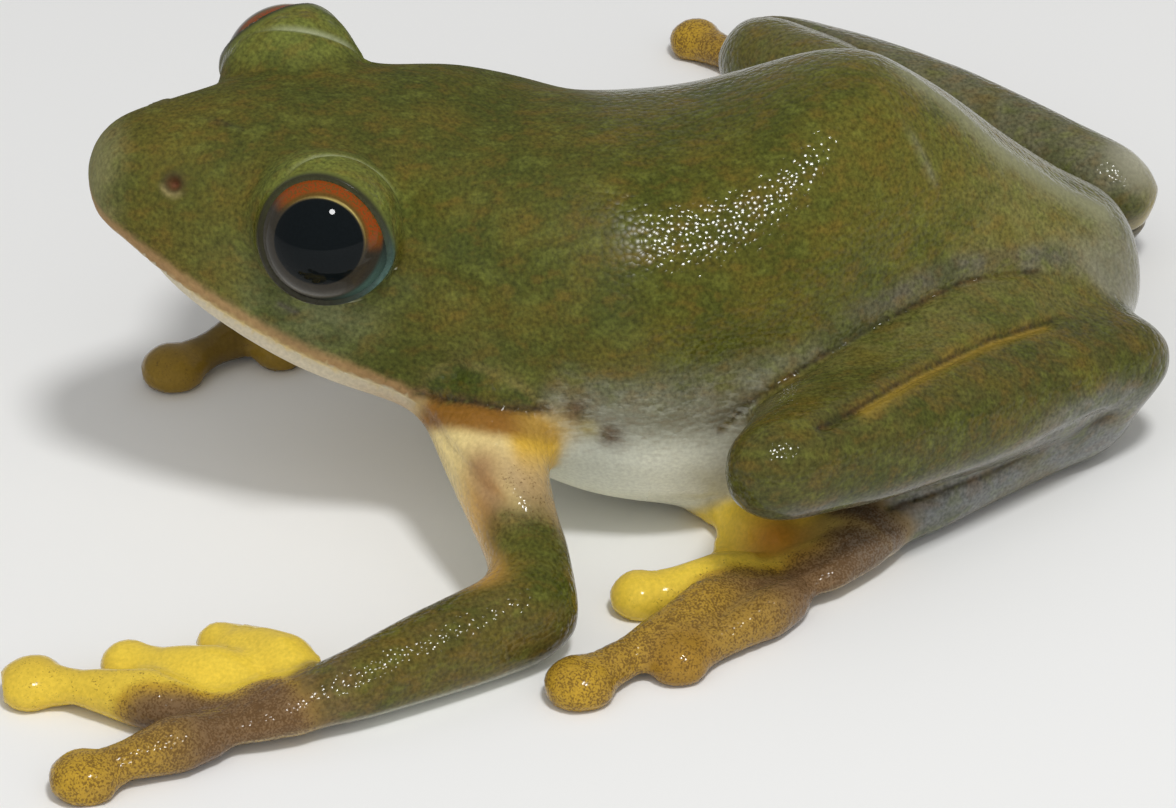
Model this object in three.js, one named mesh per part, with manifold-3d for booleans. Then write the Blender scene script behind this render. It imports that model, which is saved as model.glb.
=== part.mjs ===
// A tree frog at rest, life size: millimetres, +Z up, facing -Y, its left side toward +X.
import * as THREE from 'three';
import { mergeVertices } from 'three/addons/utils/BufferGeometryUtils.js';
import Module from 'manifold-3d';

const wasm = await Module();
wasm.setup();

// ---- driving dimensions ----
const GAP = 0.3;                 // air between neighbouring pieces
const EYE_SPACING = 11.8;        // between the centres of the eyeballs
const EYE_RADIUS = 2.65;
const LID_RADIUS = 3.2;          // the swelling over each eye
const LID_OPENING = 1.0;         // how far out from the eye's centre the lids stop
const TYMPANUM_RADIUS = 1.2;
const TYMPANUM_DEPTH = 0.55;
const PAD_THICKNESS = 1.7;        // the round pad at the end of each finger and toe
const WEB_THICKNESS = 0.55;
const WEB_REACH = 0.86;          // how far along the toes the web runs
const WEB_HOLLOW = 0.22;         // how deep its edge is hollowed between them

const HEAD_AT = new THREE.Vector3(3.6, -11.0, 14.95);    // midway between the eyes
const HEAD_YAW = 3.5;            // degrees, toward the left
const HEAD_PITCH = 15.5;         // degrees, snout up
const HEAD_ROLL = 6.5;           // degrees, right side up
const NECK_CUT = -9.2;           // where the head ends, measured forward from the eyes
// Mouth line in the head's frame: y and height, from ahead of the snout to behind the head.
const MOUTH_LINE = [[-12, -3.5], [-8.6, -3.6], [-5.2, -4.4], [0, -5.5], [4.6, -6.4], [8.4, -6.4], [14, -6.4]];

// ---- colours ----
const OLIVE = 0x5f6427;
const OLIVE_DARK = 0x4c5022;
const CREAM = 0xc9b489;
const YELLOW = 0xe0b520;
const OCHRE = 0xa98428;
const EYE_BLACK = 0x0c0d0f;

const v3 = (x, y, z) => new THREE.Vector3(x, y, z);

// ---- solids ----

// A closed mesh as a solid that can be joined and cut.
function solid(geometry) {
  const bare = geometry.clone();
  bare.deleteAttribute('normal');
  bare.deleteAttribute('uv');
  const merged = mergeVertices(bare, 1e-5);
  const mesh = new wasm.Mesh({
    numProp: 3,
    vertProperties: new Float32Array(merged.attributes.position.array),
    triVerts: new Uint32Array(merged.index.array),
  });
  return new wasm.Manifold(mesh);
}

// A sphere's mesh laid over any closed form: place(row, angle) gives each vertex.
function draped(rows, columns, place) {
  const geometry = new THREE.SphereGeometry(1, columns, rows);
  const position = geometry.attributes.position;
  for (let i = 0; i < position.count; i += 1) {
    const row = Math.floor(i / (columns + 1));
    const column = (i % (columns + 1)) % columns;
    const angle = (column / columns) * Math.PI * 2;
    const point = place(row, angle);
    position.setXYZ(i, point.x, point.y, point.z);
  }
  return solid(geometry);
}

// Where a row lies and how large it is, with the ends rounded off: along runs from 0 to 1.
function roundedRow(row, rows, capRows) {
  if (row <= capRows) {
    const turn = (row / capRows) * (Math.PI / 2);
    return { along: 0, beyond: -Math.cos(turn), size: Math.sin(turn) };
  }
  if (row >= rows - capRows) {
    const turn = ((rows - row) / capRows) * (Math.PI / 2);
    return { along: 1, beyond: Math.cos(turn), size: Math.sin(turn) };
  }
  return { along: (row - capRows) / (rows - 2 * capRows), beyond: 0, size: 1 };
}

// A limb: a curve through the path, oval sections [wide, deep] spread evenly along it.
function limb({ path, sections, rows = 8, columns = 9, capRows = 2, up = v3(0, 0, 1) }, grow = 0) {
  const curve = new THREE.CatmullRomCurve3(path, false, 'centripetal');
  const sizes = new THREE.CatmullRomCurve3(sections.map(([wide, deep]) => v3(wide, deep, 0)));
  return draped(rows, columns, (row, angle) => {
    const { along, beyond, size } = roundedRow(row, rows, capRows);
    const tangent = curve.getTangentAt(along);
    const side = v3(0, 0, 0).crossVectors(tangent, up).normalize();
    const top = v3(0, 0, 0).crossVectors(side, tangent);
    const section = sizes.getPoint(along);
    const wide = section.x + grow;
    const deep = section.y + grow;
    return curve.getPointAt(along)
      .addScaledVector(tangent, beyond * wide)
      .addScaledVector(side, size * wide * Math.cos(angle))
      .addScaledVector(top, size * deep * Math.sin(angle));
  });
}

function ball(radius, at, rows, columns) {
  const geometry = new THREE.SphereGeometry(radius, columns, rows);
  geometry.translate(at.x, at.y, at.z);
  return solid(geometry);
}

function box(size, matrix) {
  const geometry = new THREE.BoxGeometry(size.x, size.y, size.z);
  geometry.applyMatrix4(matrix);
  return solid(geometry);
}

// ---- body: head and trunk are lofts of blunt oval sections ----

// A point on one section: widest at its level, narrower toward the roof by its taper.
function sectionPoint({ wide, taper, top, level, bottom }, power, angle, size) {
  const cosine = Math.cos(angle);
  const sine = Math.sin(angle);
  const across = Math.sign(cosine) * Math.abs(cosine) ** (2 / power);
  const rise = Math.abs(sine) ** (2 / power);
  const half = sine > 0 ? wide * (1 + (taper - 1) * rise) : wide;
  const height = sine > 0 ? (top - level) * rise : (bottom - level) * rise;
  return { across: across * half * size, height: level + height * size };
}

// Sections joined lengthwise by smooth curves, with a rounded cap at each end.
function loft({ stations, power, rows, columns, frontCap, backCap }, grow = 0) {
  const capRows = 3;
  const places = new THREE.CatmullRomCurve3(stations.map((s) => v3(s.x ?? 0, s.y, 0)));
  const widths = new THREE.CatmullRomCurve3(stations.map((s) => v3(s.wide, s.taper, 0)));
  const heights = new THREE.CatmullRomCurve3(stations.map((s) => v3(s.top, s.level, s.bottom)));
  return draped(rows, columns, (row, angle) => {
    const { along, beyond, size } = roundedRow(row, rows, capRows);
    const place = places.getPoint(along);
    const [wide, taper] = widths.getPoint(along);
    const [top, level, bottom] = heights.getPoint(along);
    const section = { wide: wide + grow, taper, top: top + grow, level, bottom: bottom - grow };
    const cap = beyond < 0 ? frontCap + grow : backCap + grow;
    const { across, height } = sectionPoint(section, power, angle, size);
    return v3(place.x + across, place.y + beyond * cap, height);
  });
}

// Head in its own frame: the eyes' midpoint is the origin, forward is -Y.
const HEAD = {
  power: 3,
  rows: 16,
  columns: 22,
  frontCap: 1.5,
  backCap: 2,
  stations: [
    { y: -6.9, wide: 2.9, taper: 0.82, top: 0.2, level: -3.1, bottom: -4.1 },
    { y: -5.2, wide: 4.2, taper: 0.8, top: 0.7, level: -3.8, bottom: -5.0 },
    { y: -3.0, wide: 5.5, taper: 0.82, top: 1.6, level: -4.4, bottom: -6.0 },
    { y: 0, wide: 6.8, taper: 0.8, top: 2.1, level: -4.9, bottom: -7.0 },
    { y: 3.5, wide: 7.5, taper: 0.88, top: 2.6, level: -5.4, bottom: -7.8 },
    { y: 7, wide: 7.8, taper: 0.93, top: 2.8, level: -5.6, bottom: -8.2 },
    { y: 11, wide: 7.7, taper: 0.93, top: 2.3, level: -5.6, bottom: -8.2 },
  ],
};

// Trunk, from inside the neck to the vent; its belly lies on the floor.
const TRUNK = {
  power: 2.45,
  rows: 16,
  columns: 20,
  frontCap: 1.5,
  backCap: 2.2,
  stations: [
    { x: 4.0, y: -5.6, wide: 7.1, taper: 0.95, top: 15.5, level: 8.4, bottom: 2.7 },
    { x: 4.4, y: -3.0, wide: 7.9, taper: 0.95, top: 15.8, level: 7.8, bottom: 1.3 },
    { x: 4.8, y: 1.0, wide: 8.6, taper: 0.95, top: 15.5, level: 7.2, bottom: -0.1 },
    { x: 4.8, y: 5.0, wide: 8.5, taper: 0.92, top: 15.5, level: 7.0, bottom: -0.1 },
    { x: 4.5, y: 8.6, wide: 7.6, taper: 0.88, top: 16.7, level: 7.0, bottom: 0.1 },
    { x: 3.9, y: 12.0, wide: 6.3, taper: 0.76, top: 16.7, level: 6.8, bottom: 0.7 },
    { x: 3.2, y: 16.3, wide: 5.4, taper: 0.72, top: 12.6, level: 6.2, bottom: 1.6 },
    { x: 2.5, y: 20.4, wide: 4.1, taper: 0.85, top: 9.0, level: 5.4, bottom: 2.6 },
  ],
};

const headFrame = new THREE.Matrix4()
  .makeTranslation(HEAD_AT.x, HEAD_AT.y, HEAD_AT.z)
  .multiply(new THREE.Matrix4().makeRotationZ(THREE.MathUtils.degToRad(HEAD_YAW)))
  .multiply(new THREE.Matrix4().makeRotationX(THREE.MathUtils.degToRad(-HEAD_PITCH)))
  .multiply(new THREE.Matrix4().makeRotationY(THREE.MathUtils.degToRad(HEAD_ROLL)));

const inHead = (shape) => shape.transform(headFrame.elements);

// Way the lids open, in the head's frame, side +1 for the left.
const lidAxis = (side) => v3(side * 0.92, -0.34, 0.12).normalize();
const eyeAt = (side) => v3((side * EYE_SPACING) / 2, 0, 0);
const tympanumAt = (side) => v3(side * 7.45, 5.3, -2.6);

function facing(at, axis) {
  const turn = new THREE.Quaternion().setFromUnitVectors(v3(0, 0, 1), axis);
  return new THREE.Matrix4().compose(at, turn, v3(1, 1, 1));
}

// The swelling over each eye, open where the eye looks out.
function lids(side, grow) {
  const middle = eyeAt(side).add(v3(-side * 0.35, 0, 0.05));
  const size = 20;
  const front = eyeAt(side).addScaledVector(lidAxis(side), LID_OPENING + grow + size / 2);
  const opening = box(v3(size, size, size), facing(front, lidAxis(side)));
  return ball(LID_RADIUS + grow, middle, 8, 11).subtract(opening);
}

function tympanum(side, grow = 0) {
  const radius = TYMPANUM_RADIUS + grow;
  const geometry = new THREE.SphereGeometry(radius, 10, 4);
  geometry.scale(1, 1, (TYMPANUM_DEPTH + grow) / radius);
  geometry.applyMatrix4(facing(tympanumAt(side), v3(side, 0.12, 0.28).normalize()));
  return solid(geometry);
}

// Head and trunk before they are parted.
function headForm(grow = 0) {
  return inHead(loft(HEAD, grow).add(lids(1, grow)).add(lids(-1, grow)));
}

const trunkForm = (grow = 0) => loft(TRUNK, grow);

// All of space ahead of the neck cut.
function headSide(grow) {
  const size = 120;
  const middle = -NECK_CUT - size / 2 + grow;
  return inHead(box(v3(size, size, size), new THREE.Matrix4().makeTranslation(0, middle, 0)));
}

// All of space under the mouth, whose line runs from the snout back past the jaw's corner.
function underMouth(grow) {
  const line = new THREE.SplineCurve(MOUTH_LINE.map(([y, z]) => new THREE.Vector2(y, z + grow)));
  const outline = new THREE.Shape(line.getPoints(9));
  outline.lineTo(MOUTH_LINE.at(-1)[0], -30);
  outline.lineTo(MOUTH_LINE[0][0], -30);
  outline.closePath();
  const wide = 40;
  const geometry = new THREE.ExtrudeGeometry(outline, { depth: wide, bevelEnabled: false });
  geometry.translate(0, 0, -wide / 2);
  // Stand the outline up: its x and y become the head's y and z.
  geometry.applyMatrix4(new THREE.Matrix4().makeBasis(v3(0, 1, 0), v3(0, 0, 1), v3(1, 0, 0)));
  return inHead(solid(geometry));
}

// ---- limbs ----

const LEFT_ARM = {
  upper_arm: {
    path: [v3(9.0, -5.0, 6.6), v3(12.4, -5.0, 5.2), v3(15.7, -4.6, 3.7), v3(18.0, -4.1, 2.7)],
    sections: [[3.2, 2.7], [2.3, 2.2], [1.75, 1.8], [1.65, 1.7]],
  },
  forearm: {
    path: [v3(18.9, -4.5, 2.0), v3(20.4, -7.5, 1.9), v3(21.6, -10.3, 1.75), v3(22.5, -12.6, 1.5)],
    sections: [[2.0, 2.05], [1.9, 1.95], [1.7, 1.65], [1.5, 1.35]],
  },
  palm: {
    rows: 6,
    columns: 8,
    path: [v3(22.5, -13.0, 1.4), v3(22.3, -14.8, 1.15), v3(22.1, -16.4, 0.95)],
    sections: [[1.5, 1.25], [2.0, 1.05], [2.3, 0.85]],
  },
  fingers: [
    { root: v3(20.4, -13.8, 1.1), bend: v3(18.8, -14.6, 1.25), tip: v3(16.9, -16.5, 0.65), disc: 0.8 },
    { root: v3(20.1, -15.9, 0.95), bend: v3(18.9, -17.9, 1.05), tip: v3(17.6, -20.1, 0.65), disc: 0.95 },
    { root: v3(21.5, -18.2, 0.95), bend: v3(20.2, -20.4, 1.0), tip: v3(18.2, -23.8, 0.65), disc: 1.25 },
    { root: v3(23.6, -17.6, 0.95), bend: v3(24.4, -19.6, 1.0), tip: v3(25.1, -22.2, 0.65), disc: 1.25 },
  ],
};

const RIGHT_ARM = {
  upper_arm: {
    path: [v3(0.4, -4.4, 6.9), v3(-2.6, -2.4, 5.6), v3(-5.6, -0.2, 4.0), v3(-8.0, 1.2, 2.8)],
    sections: [[2.5, 2.9], [2.2, 2.3], [1.8, 1.8], [1.7, 1.7]],
  },
  forearm: {
    path: [v3(-9.2, 1.3, 2.05), v3(-10.4, -1.2, 2.05), v3(-11.4, -4.0, 1.95), v3(-11.7, -6.4, 1.65)],
    sections: [[2.05, 2.1], [2.05, 2.1], [1.8, 1.75], [1.5, 1.35]],
  },
  palm: {
    rows: 6,
    columns: 8,
    path: [v3(-11.6, -7.0, 1.4), v3(-11.1, -8.7, 1.15), v3(-10.5, -10.2, 0.95)],
    sections: [[1.5, 1.25], [2.0, 1.05], [2.3, 0.85]],
  },
  fingers: [
    { root: v3(-8.9, -8.6, 1.1), bend: v3(-7.7, -9.0, 1.15), tip: v3(-6.3, -9.6, 0.65), disc: 0.8 },
    { root: v3(-8.9, -10.6, 0.95), bend: v3(-7.6, -11.4, 1.05), tip: v3(-6.0, -12.2, 0.65), disc: 0.95 },
    { root: v3(-9.3, -11.7, 0.95), bend: v3(-7.2, -13.6, 1.0), tip: v3(-5.3, -16.7, 0.65), disc: 1.25 },
    { root: v3(-11.4, -11.7, 0.95), bend: v3(-12.9, -12.6, 1.0), tip: v3(-14.8, -14.2, 0.65), disc: 1.25 },
  ],
};

const LEFT_LEG = {
  thigh: {
    path: [v3(5.4, 18.2, 5.4), v3(9.4, 14.2, 5.6), v3(13.0, 9.9, 5.9), v3(15.7, 6.2, 6.4)],
    sections: [[2.9, 3.2], [2.9, 3.3], [2.6, 2.8], [2.2, 2.3]],
  },
  shank: {
    path: [v3(18.0, 5.1, 6.7), v3(15.6, 9.4, 6.1), v3(12.3, 14.6, 5.2), v3(8.2, 20.9, 4.3)],
    sections: [[2.1, 2.2], [2.4, 2.55], [2.3, 2.45], [2.0, 2.15]],
  },
  tarsus: {
    path: [v3(8.2, 19.7, 1.75), v3(9.4, 17.2, 1.7), v3(11.4, 13.9, 1.6), v3(13.3, 10.8, 1.5)],
    sections: [[1.7, 1.6], [1.7, 1.55], [1.7, 1.5], [1.7, 1.45]],
  },
  foot: {
    rows: 6,
    columns: 8,
    path: [v3(13.8, 9.9, 1.35), v3(15.0, 8.2, 1.15), v3(16.0, 6.7, 1.0)],
    sections: [[1.7, 1.3], [2.0, 1.1], [2.1, 0.85]],
  },
  ankle: v3(13.6, 10.4, 0),
  toes: [
    { root: v3(13.4, 7.3, 0.85), bend: v3(12.2, 6.8, 0.9), tip: v3(10.2, 6.2, 0.65), disc: 0.8 },
    { root: v3(14.3, 5.9, 0.85), bend: v3(12.0, 4.9, 0.9), tip: v3(9.5, 3.5, 0.65), disc: 0.9 },
    { root: v3(16.1, 4.4, 0.85), bend: v3(16.3, 2.4, 0.9), tip: v3(16.4, 0.0, 0.65), disc: 1.05 },
    { root: v3(17.3, 4.3, 0.85), bend: v3(19.5, 1.0, 0.95), tip: v3(22.2, -3.1, 0.65), disc: 1.3 },
    { root: v3(18.0, 5.4, 0.85), bend: v3(19.8, 3.3, 0.9), tip: v3(21.3, 0.8, 0.65), disc: 1.1 },
  ],
};

const RIGHT_LEG = {
  thigh: {
    path: [v3(-0.4, 17.6, 6.0), v3(-5.8, 15.6, 6.2), v3(-11.4, 13.0, 6.4), v3(-16.8, 10.1, 6.3)],
    sections: [[2.9, 3.2], [2.9, 3.1], [2.6, 2.8], [2.2, 2.3]],
  },
  shank: {
    path: [v3(-18.2, 10.9, 5.6), v3(-14.4, 15.4, 5.4), v3(-10.8, 19.5, 4.6), v3(-7.0, 23.7, 3.7)],
    sections: [[2.1, 2.2], [2.2, 2.3], [2.1, 2.2], [1.9, 1.9]],
  },
  tarsus: {
    path: [v3(-8.3, 23.7, 1.75), v3(-10.4, 22.6, 1.7), v3(-13.6, 20.5, 1.6), v3(-16.4, 18.4, 1.5)],
    sections: [[1.7, 1.6], [1.7, 1.55], [1.7, 1.5], [1.7, 1.45]],
  },
  foot: {
    rows: 6,
    columns: 8,
    path: [v3(-17.2, 17.8, 1.35), v3(-19.0, 16.5, 1.15), v3(-20.6, 15.4, 1.0)],
    sections: [[1.8, 1.3], [2.2, 1.1], [2.4, 0.85]],
  },
  ankle: v3(-16.8, 18.1, 0),
  toes: [
    { root: v3(-19.4, 14.5, 0.85), bend: v3(-19.6, 12.7, 0.9), tip: v3(-19.6, 10.9, 0.65), disc: 0.8 },
    { root: v3(-20.6, 13.7, 0.85), bend: v3(-21.4, 12.0, 0.9), tip: v3(-21.9, 10.4, 0.65), disc: 0.9 },
    { root: v3(-22.0, 13.6, 0.85), bend: v3(-23.4, 11.8, 0.9), tip: v3(-24.4, 9.8, 0.65), disc: 1.05 },
    { root: v3(-22.8, 14.0, 0.85), bend: v3(-26.4, 11.6, 0.95), tip: v3(-30.65, 9.0, 0.65), disc: 1.05 },
    { root: v3(-22.6, 15.2, 0.85), bend: v3(-25.6, 14.6, 0.9), tip: v3(-28.6, 14.0, 0.65), disc: 1.1 },
  ],
};

// A finger or toe: a short shaft, and a round pad at its end.
function digit({ root, bend, tip, disc }, grow = 0) {
  const sections = [[1.05, 0.85], [0.95, 0.8], [0.85, 0.75], [0.9, 0.75]];
  const shaft = limb({ path: [root, bend, tip], sections, rows: 4, columns: 6, capRows: 1 }, grow);
  const pad = new THREE.SphereGeometry(1, 8, 4);
  pad.rotateX(Math.PI / 2);
  pad.scale(disc + grow, disc + grow, PAD_THICKNESS / 2 + grow);
  pad.translate(tip.x, tip.y, tip.z);
  return shaft.add(solid(pad));
}

// Skin stretched between neighbouring digits, hollowed between their tips.
function web(root, digits) {
  const outline = new THREE.Shape();
  outline.moveTo(root.x, root.y);
  const ends = digits.map(({ root: from, tip }) => from.clone().lerp(tip, WEB_REACH));
  outline.lineTo(ends[0].x, ends[0].y);
  for (let i = 1; i < ends.length; i += 1) {
    const middle = ends[i - 1].clone().lerp(ends[i], 0.5).lerp(root, WEB_HOLLOW);
    outline.quadraticCurveTo(middle.x, middle.y, ends[i].x, ends[i].y);
  }
  outline.closePath();
  const geometry = new THREE.ExtrudeGeometry(outline, {
    depth: WEB_THICKNESS,
    bevelEnabled: false,
    curveSegments: 2,
  });
  return solid(geometry);
}

// ---- assembly ----

const frog = new THREE.Group();
const ground = box(v3(200, 200, 20), new THREE.Matrix4().makeTranslation(0, 0, -10));
const taken = [];                // every piece so far, swollen by the gap

// Adds a piece, cut flat at the floor and clear of the pieces before it, less any loose sliver.
function add(name, form, color, roughness = 0.35) {
  let shape = form(0).subtract(ground);
  taken.forEach((other) => {
    shape = shape.subtract(other);
  });
  taken.push(form(GAP));
  const pieces = shape.decompose().sort((a, b) => b.volume() - a.volume());
  const mesh = pieces[0].getMesh();
  const geometry = new THREE.BufferGeometry();
  geometry.setAttribute('position', new THREE.BufferAttribute(mesh.vertProperties, 3));
  geometry.setIndex(new THREE.BufferAttribute(mesh.triVerts, 1));
  const material = new THREE.MeshStandardMaterial({ color, roughness, metalness: 0 });
  const part = new THREE.Mesh(geometry, material);
  part.name = name;
  frog.add(part);
}

const sides = [['left', 1], ['right', -1]];
const bodyForm = (grow) => headForm(grow).add(trunkForm(grow));

sides.forEach(([label, side]) => {
  add(`eye_${label}`, (grow) => inHead(ball(EYE_RADIUS + grow, eyeAt(side), 8, 11)), EYE_BLACK, 0.05);
  add(`tympanum_${label}`, (grow) => inHead(tympanum(side, grow)), OLIVE);
});
add('lower_jaw', (grow) => bodyForm(grow).intersect(headSide(grow)).intersect(underMouth(grow)), CREAM);
add('head', (grow) => bodyForm(grow).intersect(headSide(grow)), OLIVE);
add('trunk', bodyForm, OLIVE);

function addArm(label, arm) {
  add(`forearm_${label}`, (grow) => limb(arm.forearm, grow), OLIVE_DARK);
  add(`upper_arm_${label}`, (grow) => limb(arm.upper_arm, grow), CREAM);
  arm.fingers.forEach((finger, i) => {
    add(`finger_${i + 1}_${label}`, (grow) => digit(finger, grow), YELLOW);
  });
  add(`hand_${label}`, (grow) => limb(arm.palm, grow), OCHRE);
}

function addLeg(label, leg) {
  add(`shank_${label}`, (grow) => limb(leg.shank, grow), OLIVE);
  add(`thigh_${label}`, (grow) => limb(leg.thigh, grow), OLIVE);
  add(`tarsus_${label}`, (grow) => limb(leg.tarsus, grow), OLIVE_DARK);
  leg.toes.forEach((toe, i) => {
    add(`toe_${i + 1}_${label}`, (grow) => digit(toe, grow), YELLOW);
  });
  const sole = (grow) => limb(leg.foot, grow).add(web(leg.ankle, leg.toes));
  add(`foot_${label}`, sole, OCHRE);
}

addArm('left', LEFT_ARM);
addArm('right', RIGHT_ARM);
addLeg('left', LEFT_LEG);
addLeg('right', RIGHT_LEG);

// The origin is the middle of the box round the frog, on the floor.
const bounds = new THREE.Box3().setFromObject(frog);
const middle = bounds.getCenter(new THREE.Vector3());
frog.position.set(-middle.x, -middle.y, -bounds.min.z);

export default frog;
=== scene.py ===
"""A life-size tree frog at rest: one wet skin over the flesh, and two eyes."""
import math

import bmesh
import bpy
import numpy as np
from mathutils import Matrix, Vector
from mathutils.bvhtree import BVHTree


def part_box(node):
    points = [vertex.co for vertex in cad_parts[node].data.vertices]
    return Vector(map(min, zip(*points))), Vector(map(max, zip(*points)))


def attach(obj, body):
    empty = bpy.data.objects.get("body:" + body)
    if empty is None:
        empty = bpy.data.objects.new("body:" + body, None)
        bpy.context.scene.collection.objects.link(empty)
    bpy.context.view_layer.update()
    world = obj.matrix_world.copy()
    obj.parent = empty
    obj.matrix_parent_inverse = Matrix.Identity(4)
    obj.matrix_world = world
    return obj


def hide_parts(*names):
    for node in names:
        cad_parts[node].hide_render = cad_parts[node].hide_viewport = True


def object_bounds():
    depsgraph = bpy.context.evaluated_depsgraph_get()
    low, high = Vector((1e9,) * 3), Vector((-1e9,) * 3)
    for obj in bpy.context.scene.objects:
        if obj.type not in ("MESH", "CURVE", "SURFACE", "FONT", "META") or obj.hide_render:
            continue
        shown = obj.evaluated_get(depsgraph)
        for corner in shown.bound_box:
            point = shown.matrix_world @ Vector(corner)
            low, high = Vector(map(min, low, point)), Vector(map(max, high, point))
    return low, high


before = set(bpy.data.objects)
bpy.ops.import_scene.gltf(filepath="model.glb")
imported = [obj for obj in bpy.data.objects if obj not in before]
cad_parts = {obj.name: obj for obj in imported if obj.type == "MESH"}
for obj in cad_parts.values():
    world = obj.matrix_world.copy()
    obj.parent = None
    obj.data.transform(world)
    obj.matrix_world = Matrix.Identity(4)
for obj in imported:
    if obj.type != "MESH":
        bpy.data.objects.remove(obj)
solid_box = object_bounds()
MM = 0.001
SIDES = {"left": 1, "right": -1}


# ---- Head's own axes ----
# The eyeballs carry the face: they give where the head is and how it leans to one side, and the
# snout points up from the floor and a little to the left. Places on the face are in these axes.
SNOUT_UP = math.radians(15.5)
SNOUT_TURN = math.radians(3.5)


def middle_of(node):
    low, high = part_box(node)
    return (low + high) / 2


eyeball_at = {side: middle_of(f"eye_{side}") for side in SIDES}
eyeball_radius = max(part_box("eye_left")[1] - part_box("eye_left")[0]) / 2
head_at = (eyeball_at["left"] + eyeball_at["right"]) / 2
head_left = (eyeball_at["left"] - eyeball_at["right"]).normalized()
head_back = -Vector((
    math.sin(SNOUT_TURN) * math.cos(SNOUT_UP),
    -math.cos(SNOUT_TURN) * math.cos(SNOUT_UP),
    math.sin(SNOUT_UP),
))
head_up = head_left.cross(head_back)


# ---- Camera ----
# A long lens looks down on the frog's left side from a little ahead of it, with the middle of its
# view on the floor beside the belly.
LOOK_AZIMUTH = math.radians(84)
LOOK_DOWN = math.radians(30)
LOOK_ROLL = math.radians(-2.8)
LOOK_FROM = 260 * MM
LENS = 192.6                # and its film, in millimetres
FILM = 36
NEAREST_SEEN = 10 * MM
EYE_TO_AIM = Vector((-9.46, 10.82, -14.31)) * MM
to_camera = Vector((
    math.sin(LOOK_AZIMUTH) * math.cos(LOOK_DOWN),
    -math.cos(LOOK_AZIMUTH) * math.cos(LOOK_DOWN),
    math.sin(LOOK_DOWN),
))


def placed(name, data):
    """An object of that name in the scene, unturned at the origin."""
    made = bpy.data.objects.new(name, data)
    bpy.context.scene.collection.objects.link(made)
    return made


camera = placed("camera", bpy.data.cameras.new("camera"))
camera.data.lens = LENS
camera.data.sensor_width = FILM
camera.data.clip_start = NEAREST_SEEN
camera.location = eyeball_at["left"] + EYE_TO_AIM + to_camera * LOOK_FROM
camera.rotation_mode = "QUATERNION"
upright = (-to_camera).to_track_quat("-Z", "Y")
camera.rotation_quaternion = upright @ Matrix.Rotation(LOOK_ROLL, 3, "Z").to_quaternion()
bpy.context.scene.camera = camera


# ---- Skin: its sheet ----
# A frog's skin has no seams: it runs from the snout over the trunk and out to the toe pads. The
# flesh solids are drawn together over their joints, wrapped in one sheet, and the sheet is faired.
SEAM_REACH = 0.85 * MM      # flesh nearer than this to its neighbour is drawn toward it
SEAM_WIDTH = 0.4 * MM       # and flesh nearer than this is drawn right over the joint
SEAM_LAP = 0.08 * MM
SAME_POINT = 0.001 * MM
DIGIT_ROUND = 0.9           # fingers and toes are rounded between their facets, the rest is faired
SHEET_GRAIN = 0.315 * MM    # spacing of the sheet's points

nodes = sorted(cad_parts)
shells = {}
for node in nodes:
    shell = bmesh.new()
    shell.from_mesh(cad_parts[node].data)
    bmesh.ops.remove_doubles(shell, verts=shell.verts, dist=SAME_POINT)
    roundness = DIGIT_ROUND if node.startswith(("finger", "toe")) else 0
    bmesh.ops.subdivide_edges(shell, edges=shell.edges, cuts=1, use_grid_fill=True, smooth=roundness)
    bmesh.ops.triangulate(shell, faces=shell.faces)
    shells[node] = shell
surfaces = {node: BVHTree.FromBMesh(shell) for node, shell in shells.items()}
reach_box = {node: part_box(node) for node in nodes}


def apart(a, b):
    """Whether two flesh boxes lie further apart than a joint reaches."""
    (low_a, high_a), (low_b, high_b) = reach_box[a], reach_box[b]
    gaps = [max(low_a[i] - high_b[i], low_b[i] - high_a[i]) for i in range(3)]
    return max(gaps) > SEAM_REACH


ARM = ("finger", "hand", "forearm", "upper_arm")
LEG = ("toe", "foot", "tarsus", "shank", "thigh")
LIMBS_APART = 0.16 * MM     # an arm and a leg that cross each give way by this much


def crossing(a, b):
    """Whether one is of an arm and the other of a leg, whose skins never join."""
    return (a.startswith(ARM) and b.startswith(LEG)) or (a.startswith(LEG) and b.startswith(ARM))


flesh = bmesh.new()
face_node = []
for number, (node, shell) in enumerate(shells.items()):
    others = [other for other in nodes if other != node and not apart(node, other)]
    drawn = []
    for vert in shell.verts:
        place = vert.co.copy()
        for other in others:
            touch, _, _, distance = surfaces[other].find_nearest(vert.co, SEAM_REACH)
            if touch is not None:
                ease = min(1, (SEAM_REACH - distance) / (SEAM_REACH - SEAM_WIDTH))
                move = -LIMBS_APART if crossing(node, other) else distance / 2 + SEAM_LAP
                place += (touch - vert.co).normalized() * move * ease
        drawn.append(flesh.verts.new(place))
    shell.verts.index_update()
    for face in shell.faces:
        flesh.faces.new([drawn[vert.index] for vert in face.verts])
        face_node.append(number)
face_node = np.array(face_node)
flesh_surface = BVHTree.FromBMesh(flesh)

flesh_mesh = bpy.data.meshes.new("flesh")
flesh.to_mesh(flesh_mesh)
wrapped = placed("wrapped", flesh_mesh)
wrap = wrapped.modifiers.new("wrap", "REMESH")
wrap.mode = "VOXEL"
wrap.voxel_size = SHEET_GRAIN
shown = wrapped.evaluated_get(bpy.context.evaluated_depsgraph_get())
sheet = bmesh.new()
sheet.from_mesh(bpy.data.meshes.new_from_object(shown))
bpy.data.objects.remove(wrapped)

# Only the outer sheet is kept, without any closed pocket inside the flesh.
parts = []
left_over = set(sheet.verts)
while left_over:
    part = {left_over.pop()}
    front = list(part)
    while front:
        beside = {edge.other_vert(vert) for vert in front for edge in vert.link_edges}
        front = beside - part
        part |= front
    left_over -= part
    parts.append(part)
inner = set(sheet.verts) - max(parts, key=len)
bmesh.ops.delete(sheet, geom=list(inner), context="VERTS")


def smooth(values, low, high):
    """0 at low, 1 at high, and an even curve between."""
    share = np.clip((values - low) / (high - low), 0, 1)
    return share * share * (3 - 2 * share)


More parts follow.
